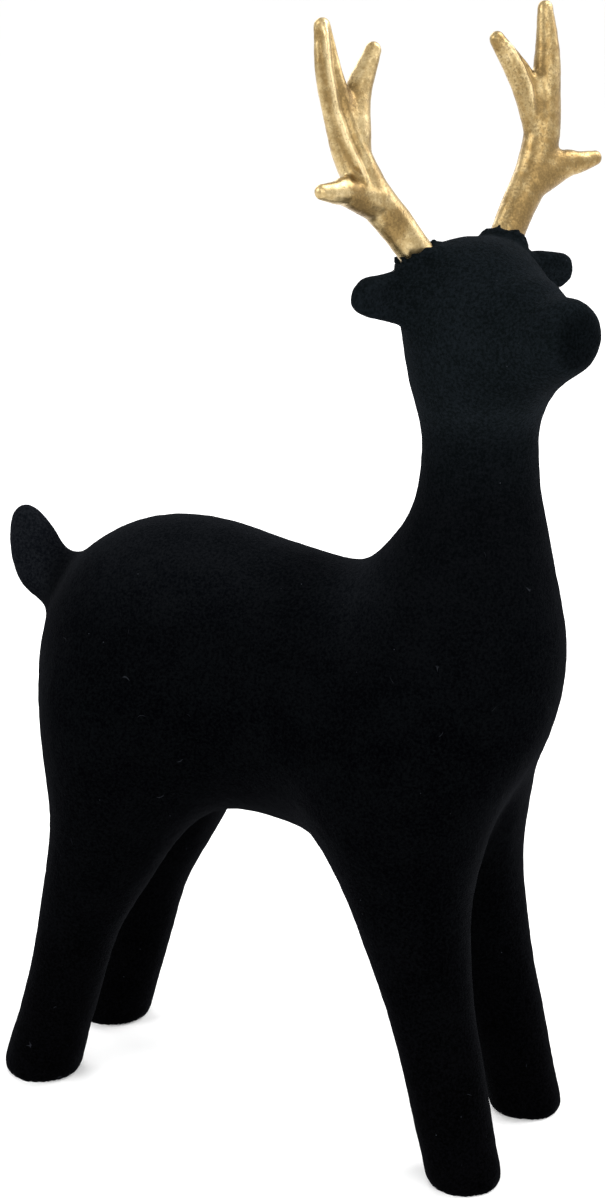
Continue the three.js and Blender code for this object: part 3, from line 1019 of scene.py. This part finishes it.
@dataclass(frozen=True)
class Cut:
    """One carved line: a ridge where its height is positive, a groove where it is negative.

    It can run beside the line, and fades out over a share of the line at its top and at its foot.
    """

    line: tuple[tuple[float, float], ...]
    height_mm: float
    width_mm: float
    beside_mm: float = 0.0
    foot_fade: float = 0.12
    top_fade: float = 0.12


@dataclass(frozen=True)
class Carving:
    """What is carved into one antler's front.

    Places are millimetres out and up from the antler's seat, in a plane skewed towards the carved side. A
    spot of painted shade and patina has its reach besides, and the last field is the least painted shade and
    patina that the whole antler has.
    """

    skew: float
    cuts: tuple[Cut, ...]
    shade_and_patina_spots: tuple[tuple[float, float, float], ...]
    # The least painted shade and patina over the whole antler.
    tarnish: float = 0.0


Station = tuple[float, float, float, float]

# An antler's limbs: forward, out and up from its seat, and the radius there, in millimetres.
BEAM: tuple[Station, ...] = (
    (0.0, 3.9, 6.0, 5.4),
    (0.0, 7.8, 11.0, 5.4),
    (0.0, 13.5, 19.2, 5.6),
    (0.0, 21.1, 29.1, 5.9),
    (0.0, 26.3, 40.2, 5.9),
    (0.2, 29.1, 52.2, 5.1),
    (0.5, 31.4, 64.2, 4.1),
    (0.9, 32.0, 76.7, 2.6),
)
INNER_TINE: tuple[Station, ...] = (
    (0.0, 25.0, 36.0, 4.4),
    (0.0, 24.6, 46.8, 5.1),
    (-0.8, 21.4, 57.3, 4.3),
    (-1.0, 13.9, 69.2, 2.5),
)
BROW_TINE: tuple[Station, ...] = (
    (0.5, 21.0, 27.4, 5.9),
    (2.5, 31.0, 30.6, 4.5),
    (4.0, 36.5, 30.8, 3.3),
    (5.0, 41.8, 31.4, 2.3),
)
# Where the limbs part, out and up from the seat, and how far each fork's web reaches.
FORKS = ((25.0, 51.0, 9.0), (25.0, 30.0, 9.0))
# The carved lines, out and up from the seat, from the top down.
BEAM_RIDGE = (
    (30.3, 79.2),
    (30.5, 70.7),
    (30.6, 65.1),
    (29.6, 52.8),
    (27.5, 45.0),
    (25.2, 39.4),
    (21.2, 30.0),
)
TINE_RIDGE = ((15.8, 68.4), (18.2, 65.9), (21.3, 60.3), (23.6, 54.5), (24.2, 44.4))
TINE_GROOVE = ((21.3, 65.6), (23.7, 60.7), (25.6, 54.9), (26.4, 48.9))
# Each carving's spots are painted shade and patina at the forks and on the beam; the far (left) antler's last
# number paints it darker all over.
CARVINGS = {
    Side.RIGHT: Carving(
        -0.736,
        (Cut(BEAM_RIDGE, 1.3, 0.85), Cut(BEAM_RIDGE, -0.75, 1.7, 2.6), Cut(BEAM_RIDGE, -0.5, 1.4, -2.3)),
        ((25.0, 57.2, 4.0), (24.9, 31.8, 2.6), (25.0, 26.1, 4.0), (14.2, 19.8, 4.0)),
    ),
    Side.LEFT: Carving(
        0.843,
        (
            Cut(TINE_RIDGE, 0.9, 0.9),
            Cut(TINE_RIDGE, -0.35, 1.3, 2.4),
            Cut(TINE_GROOVE, -0.5, 0.7, foot_fade=0.5),
        ),
        ((28.6, 59.0, 3.0), (25.6, 49.0, 3.0), (15.3, 17.4, 8.0), (32.6, 35.1, 5.0), (25.6, 26.8, 8.0)),
        0.28,
    ),
}


@dataclass
class Antler:
    """One gilded antler casting: beam, brow tine, inner tine and outer tine. Lengths are in millimetres."""

    side: Side
    head: Head
    finish: GoldLeaf
    flatness: float = 0.8
    line_steps: int = 8
    round_steps: int = 10
    ball_segments: int = 32
    voxel: float = 0.5
    # Each fork's web: how far the skin is drawn in to find it, and how much of that fills it.
    web_rounds: int = 110
    web_fill: float = 1.5
    last_rounds: int = 10
    # The carved front is where the skin looks this much along FRONT.
    front_span: tuple[float, float] = (0.0, 0.55)
    wear: float = 0.08
    wear_grain: float = 2.6
    wear_seed: float = 7.7

    def build(self, node: bpy.types.Object) -> bpy.types.Object:
        """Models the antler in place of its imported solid, from round limbs that follow the same lines.

        Args:
            node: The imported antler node.

        Returns:
            The finished piece.
        """
        piece = self.cast()
        piece.name = piece.data.name = f"gilded_{node.name}"
        self.fill_forks(piece)
        self.set_in_head(piece)
        self.carve(piece)
        mesh = piece.data
        mesh.materials.append(self.finish.material())
        mesh.shade_smooth()
        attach(piece, "root")
        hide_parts(node.name)
        return piece

    def limb(self, stations: np.ndarray) -> list[bpy.types.Object]:
        """A round tapering limb with a ball at each end, before the antler is flattened.

        Args:
            stations: Rows of x, y, z and radius in millimetres.

        Returns:
            The limb and its two balls.
        """
        curve = bpy.data.curves.new("limb", "CURVE")
        curve.dimensions = "3D"
        curve.bevel_depth = MM
        curve.bevel_resolution = self.round_steps
        curve.use_fill_caps = True
        spline = curve.splines.new("POLY")
        spline.points.add(len(stations) - 1)
        for point, (x, y, z, radius) in zip(spline.points, stations):
            point.co = (x * MM, y * MM, z * MM, 1)
            point.radius = radius
        limb = bpy.data.objects.new("limb", curve)
        bpy.context.scene.collection.objects.link(limb)
        select_only(limb)
        bpy.ops.object.convert(target="MESH")
        made = [bpy.context.active_object]
        for x, y, z, radius in (stations[0], stations[-1]):
            bpy.ops.object.select_all(action="DESELECT")
            bpy.ops.mesh.primitive_uv_sphere_add(
                segments=self.ball_segments,
                ring_count=self.ball_segments // 2,
                radius=radius * MM,
                location=(x * MM, y * MM, z * MM),
            )
            made.append(bpy.context.active_object)
        return made

    def cast(self) -> bpy.types.Object:
        """Joins the antler's limbs in one skin.

        Returns:
            The antler, in its own plane with the seat at the origin.
        """
        limbs = []
        for line in (BEAM, INNER_TINE, BROW_TINE):
            stations = smooth_line(np.array(line), self.line_steps)
            stations[:, :2] *= (1 / self.flatness, self.side.value)
            limbs += self.limb(stations)
        bpy.ops.object.select_all(action="DESELECT")
        for limb in limbs:
            limb.select_set(True)
        bpy.context.view_layer.objects.active = limbs[0]
        bpy.ops.object.join()
        piece = bpy.context.active_object
        select_only(piece)
        bpy.ops.object.transform_apply(location=True, rotation=True, scale=True)
        apply_modifier(piece, "REMESH", mode="VOXEL", voxel_size=self.voxel * MM, use_smooth_shade=True)
        return piece

    def fill_forks(self, piece: bpy.types.Object) -> None:
        """Fills the notch where two limbs part with a soft web, and evens the skin.

        Args:
            piece: The antler.
        """
        mesh = piece.data
        points, normals = points_of(mesh), normals_of(mesh)
        out, up = np.abs(points[:, 1]) / MM, points[:, 2] / MM
        near = np.max([bump(np.hypot(out - u, up - v), 0, reach) for u, v, reach in FORKS], axis=0)
        drawn = np.sum((diffuse(mesh, points, self.web_rounds) - points) * normals, axis=1)
        move_points(mesh, points + normals * (self.web_fill * near * np.maximum(drawn, 0))[:, None])
        even_out(piece, self.last_rounds)

    def set_in_head(self, piece: bpy.types.Object) -> None:
        """Flattens the casting front to back and stands it in its socket.

        Args:
            piece: The antler.
        """
        points = points_of(piece.data)
        points[:, 0] *= self.flatness
        y, z = self.head.seat
        seat = Matrix.Translation(Vector((0, y * self.side.value, z)) * MM)
        stand = np.array(self.head.leaned_back() @ seat)
        move_points(piece.data, points @ stand[:3, :3].T + stand[:3, 3])

    def carve(self, piece: bpy.types.Object) -> None:
        """Cuts the ridges and grooves of the antler's front, and rubs the whole a little uneven.

        How far each spot stands out, and how much painted shade and patina it has, are kept as attributes,
        for the gold leaf.

        Args:
            piece: The antler.
        """
        mesh = piece.data
        points = points_of(mesh)
        into = np.array(self.head.antler_frame(self.side).inverted())
        local = (points @ into[:3, :3].T + into[:3, 3]) / MM
        normals = normals_of(mesh)
        carving = CARVINGS[self.side]
        face = into[:3, :3] / np.linalg.norm(into[:3, :3], axis=1, keepdims=True)
        looks = Vector((FRONT[0], FRONT[1] * math.copysign(1, carving.skew), 0.0))
        front = smooth_step((normals @ face.T) @ np.array(looks), *self.front_span)
        flat = np.stack([local[:, 1] + carving.skew * local[:, 0], local[:, 2]], axis=1)
        relief = np.zeros(len(points))
        for cut in carving.cuts:
            beside, passed = line_distance(flat, cut.line)
            fade = smooth_step(passed, 0, cut.top_fade) * smooth_step(1 - passed, 0, cut.foot_fade)
            relief += cut.height_mm * fade * bump(beside, cut.beside_mm, cut.width_mm)
        relief *= front
        worn = ripple(points, self.wear_grain * MM, self.wear_seed + self.side.value, 3)
        move_points(mesh, points + normals * ((relief + self.wear * worn) * MM)[:, None])
        # Painted shade and patina: spots at the forks and on the beam, over a floor that darkens the whole
        # far antler.
        tarnish = np.full(len(points), carving.tarnish)
        for u, v, reach in carving.shade_and_patina_spots:
            tarnish = np.maximum(tarnish, bump(np.hypot(flat[:, 0] - u, flat[:, 1] - v), 0, reach))
        for name, values in (("relief", relief), ("tarnish", tarnish)):
            stored = mesh.attributes.new(name, "FLOAT", "POINT")
            stored.data.foreach_set("value", values.astype(np.float32))


@dataclass(frozen=True)
class Panel:
    """A square soft light: its name, its place and side in metres, and its power in watts."""

    name: str
    place: tuple[float, float, float]
    side: float
    power: float


@dataclass
class Studio:
    """A pale floor, soft light from large panels, and the camera at the photograph's place."""

    panels: tuple[Panel, ...] = (
        Panel("key", (-0.9, -1.5, 1.5), 1.4, 26.0),
        Panel("fill", (1.6, -1.0, 0.9), 1.4, 14.0),
        Panel("rim_left", (-1.3, 1.0, 1.1), 1.2, 15.0),
        Panel("rim_right", (1.2, 1.4, 1.2), 1.2, 15.0),
        Panel("crown", (0.35, 0.3, 0.8), 0.4, 3.0),
    )
    aim: tuple[float, float, float] = (0.0, 0.0, 0.18)
    room_light: float = 1.04
    floor_size: float = 40.0
    paper: str = "fbfbfb"
    camera_mm: tuple[float, float, float] = (324.83, -633.99, 392.0)
    pitch: float = 17.0
    yaw: float = 26.8
    lens: float = 70.2
    sensor: float = 36.0

    def build(self) -> None:
        """Makes the floor, the lights, the white room and the camera."""
        self.floor()
        for panel in self.panels:
            self.light(panel)
        world = bpy.data.worlds.new("white_room")
        bpy.context.scene.world = world
        world.use_nodes = True
        world.node_tree.nodes["Background"].inputs["Color"].default_value = (1, 1, 1, 1)
        world.node_tree.nodes["Background"].inputs["Strength"].default_value = self.room_light
        bpy.context.scene.view_settings.view_transform = "Standard"
        self.camera()

    def floor(self) -> None:
        """A wide floor of matt paper, which gives the eye an even white with no horizon."""
        bpy.ops.object.select_all(action="DESELECT")
        bpy.ops.mesh.primitive_plane_add(size=self.floor_size, location=(0, 0, 0))
        floor = bpy.context.active_object
        floor.name = "floor"
        pale = bpy.data.materials.new("pale_paper")
        pale.use_nodes = True
        shader = pale.node_tree.nodes["Principled BSDF"]
        shader.inputs["Base Color"].default_value = linear(self.paper)
        shader.inputs["Roughness"].default_value = 0.9
        shader.inputs["Specular IOR Level"].default_value = 0.1
        floor.data.materials.append(pale)

    def light(self, panel: Panel) -> None:
        """Hangs a light panel, aimed at the figure's middle.

        Args:
            panel: The light to hang.
        """
        shine = bpy.data.lights.new(panel.name, "AREA")
        shine.shape = "SQUARE"
        shine.size = panel.side
        shine.energy = panel.power
        lamp = bpy.data.objects.new(panel.name, shine)
        lamp.location = panel.place
        lamp.rotation_euler = (Vector(self.aim) - Vector(panel.place)).to_track_quat("-Z", "Y").to_euler()
        bpy.context.scene.collection.objects.link(lamp)

    def camera(self) -> None:
        """The camera where the photographer's stood."""
        eye = bpy.data.cameras.new("camera")
        eye.lens = self.lens
        eye.sensor_width = self.sensor
        stand = bpy.data.objects.new("camera", eye)
        stand.location = Vector(self.camera_mm) * MM
        pitch, yaw = math.radians(self.pitch), math.radians(self.yaw)
        level = math.cos(pitch)
        forward = Vector((-math.sin(yaw) * level, math.cos(yaw) * level, -math.sin(pitch)))
        stand.rotation_euler = forward.to_track_quat("-Z", "Y").to_euler()
        bpy.context.scene.collection.objects.link(stand)
        bpy.context.scene.camera = stand


@dataclass
class Figure:
    """The whole reindeer figure."""

    head: Head = field(default_factory=Head)
    flock: NylonFlock = field(default_factory=NylonFlock)
    leaf: GoldLeaf = field(default_factory=GoldLeaf)

    def build(self, nodes: dict[str, bpy.types.Object]) -> list[bpy.types.Object]:
        """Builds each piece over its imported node.

        Args:
            nodes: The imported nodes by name.

        Returns:
            The finished pieces.
        """
        return [
            Casting(self.head, self.flock).build(nodes["body"]),
            Antler(Side.LEFT, self.head, self.leaf).build(nodes["antler_left"]),
            Antler(Side.RIGHT, self.head, self.leaf).build(nodes["antler_right"]),
        ]


def main() -> None:
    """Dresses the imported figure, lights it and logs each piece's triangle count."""
    logging.basicConfig(level=logging.INFO, format="%(name)s: %(message)s")
    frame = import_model()
    for piece in Figure().build(frame["nodes"]):
        piece.data.calc_loop_triangles()
        log.info("%s has %d triangles", piece.name, len(piece.data.loop_triangles))
    Studio().build()


if __name__ == "__main__":
    main()
